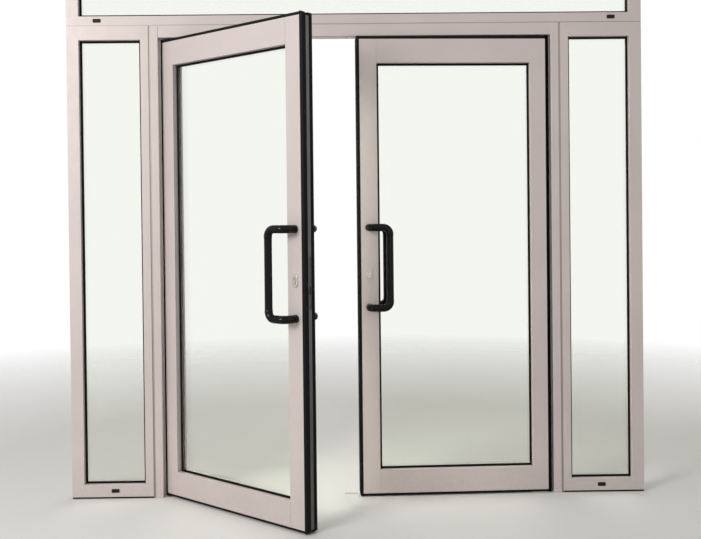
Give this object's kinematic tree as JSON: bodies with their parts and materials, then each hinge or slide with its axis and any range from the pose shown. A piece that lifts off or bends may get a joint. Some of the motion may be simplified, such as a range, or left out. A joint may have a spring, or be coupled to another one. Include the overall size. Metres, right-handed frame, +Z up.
{
  "type": "glass entrance door",
  "caption": "Aluminium entrance screen with a pair of centre-hung double-action glazed swing leaves, glazed side lights, a fanlight and black cranked pull handles.",
  "frame": {"origin": "on the finished floor, in the middle of the doorway's width, in the plane of the frame's front faces", "axes": "+X to the right across the doorway seen from the front, +Y from the front into the building, +Z up"},
  "size_m": [2.658, 0.6785, 2.6],
  "materials": {
    "coated_aluminium": "powder-coated light silver grey, satin",
    "groove_aluminium": "aluminium in the grooves, dulled",
    "insulating_glass": "clear insulating glass, faintly green and warm",
    "sealing_rubber": "black rubber, matt",
    "black_polyamide": "black polyamide, matt",
    "cap_plastic": "dark grey plastic, matt",
    "black_nylon": "black nylon, polished",
    "zinc_plated_steel": "zinc-plated",
    "blackened_steel": "blackened, satin",
    "stainless_steel": "satin stainless steel",
    "nickel_brass": "nickel-plated brass"
  },
  "bodies": {
    "frame": {"jamb_left": "coated_aluminium", "jamb_right": "coated_aluminium", "door_head": "coated_aluminium", "side_left_outer": "coated_aluminium", "side_left_inner": "coated_aluminium", "side_left_sill": "coated_aluminium", "side_left_head": "coated_aluminium", "side_right_outer": "coated_aluminium", "side_right_inner": "coated_aluminium", "side_right_sill": "coated_aluminium", "side_right_head": "coated_aluminium", "fan_left": "coated_aluminium", "fan_right": "coated_aluminium", "fan_sill": "coated_aluminium", "fan_head": "coated_aluminium", "glass_side_left": "insulating_glass", "glass_side_right": "insulating_glass", "glass_fan": "insulating_glass", "beads_side_left": "coated_aluminium", "beads_side_right": "coated_aluminium", "beads_fan": "coated_aluminium", "seals_fixed": "sealing_rubber", "coupling_profiles": "groove_aluminium", "base_strips": "black_polyamide", "drain_caps": "cap_plastic", "head_closers": "zinc_plated_steel", "pivot_and_keep_plates": "stainless_steel"},
    "leaf_left": {"hinge_stile_left": "coated_aluminium", "lock_stile_left": "coated_aluminium", "top_rail_left": "coated_aluminium", "bottom_rail_left": "coated_aluminium", "hinge_guard_left": "black_polyamide", "lip_seals_left": "sealing_rubber", "glass_leaf_left": "insulating_glass", "seals_leaf_left": "sealing_rubber", "beads_leaf_left": "coated_aluminium", "pulls_left": "black_nylon", "lock_case_left": "blackened_steel", "cylinder_left": "nickel_brass", "escutcheons_left": "stainless_steel", "fittings_left": "zinc_plated_steel"},
    "leaf_right": {"hinge_stile_right": "coated_aluminium", "lock_stile_right": "coated_aluminium", "top_rail_right": "coated_aluminium", "bottom_rail_right": "coated_aluminium", "hinge_guard_right": "black_polyamide", "lip_seals_right": "sealing_rubber", "glass_leaf_right": "insulating_glass", "seals_leaf_right": "sealing_rubber", "beads_leaf_right": "coated_aluminium", "pulls_right": "black_nylon", "lock_case_right": "blackened_steel", "cylinder_right": "nickel_brass", "escutcheons_right": "stainless_steel", "fittings_right": "zinc_plated_steel"},
    "key_left": {"key_plug_left": "nickel_brass"},
    "key_right": {"key_plug_right": "nickel_brass"},
    "dead_bolt": {"dead_bolt": "zinc_plated_steel"},
    "rod_upper": {"rod_upper": "zinc_plated_steel"},
    "rod_lower": {"rod_lower": "zinc_plated_steel"}
  },
  "joints": [
    {"name": "leaf_left_swing", "type": "hinge", "parent": "frame", "child": "leaf_left", "pos_m": [-0.848, 0.0325, 0], "axis": [0, 0, 1], "range_deg": [-50, 130]},
    {"name": "leaf_right_swing", "type": "hinge", "parent": "frame", "child": "leaf_right", "pos_m": [0.848, 0.0325, 0], "axis": [0, 0, 1], "range_deg": [-92, 88]},
    {"name": "key_left_turn", "type": "hinge", "parent": "leaf_left", "child": "key_left", "pos_m": [-0.239, -0.47852, 1.041], "axis": [0.6428, 0.766, 0], "range_deg": [0, 360]},
    {"name": "key_right_turn", "type": "hinge", "parent": "leaf_right", "child": "key_right", "pos_m": [0.05348, 0.00475, 1.041], "axis": [-0.0349, 0.9994, 0], "range_deg": [0, 360]},
    {"name": "dead_bolt_slide", "type": "slide", "parent": "leaf_right", "child": "dead_bolt", "axis": [-0.9994, -0.0349, 0], "range_m": [0, 0.028]},
    {"name": "rod_upper_slide", "type": "slide", "parent": "leaf_left", "child": "rod_upper", "axis": [0, 0, 1], "range_m": [0, 0.015]},
    {"name": "rod_lower_slide", "type": "slide", "parent": "leaf_left", "child": "rod_lower", "axis": [0, 0, -1], "range_m": [0, 0.015]}
  ],
  "couplings": [
    {"joint": "key_right_turn", "follows": "dead_bolt_slide", "rad_per_m": 224.4},
    {"joint": "key_left_turn", "follows": "rod_upper_slide", "rad_per_m": 418.88},
    {"joint": "rod_lower_slide", "follows": "rod_upper_slide", "ratio": 1}
  ]
}
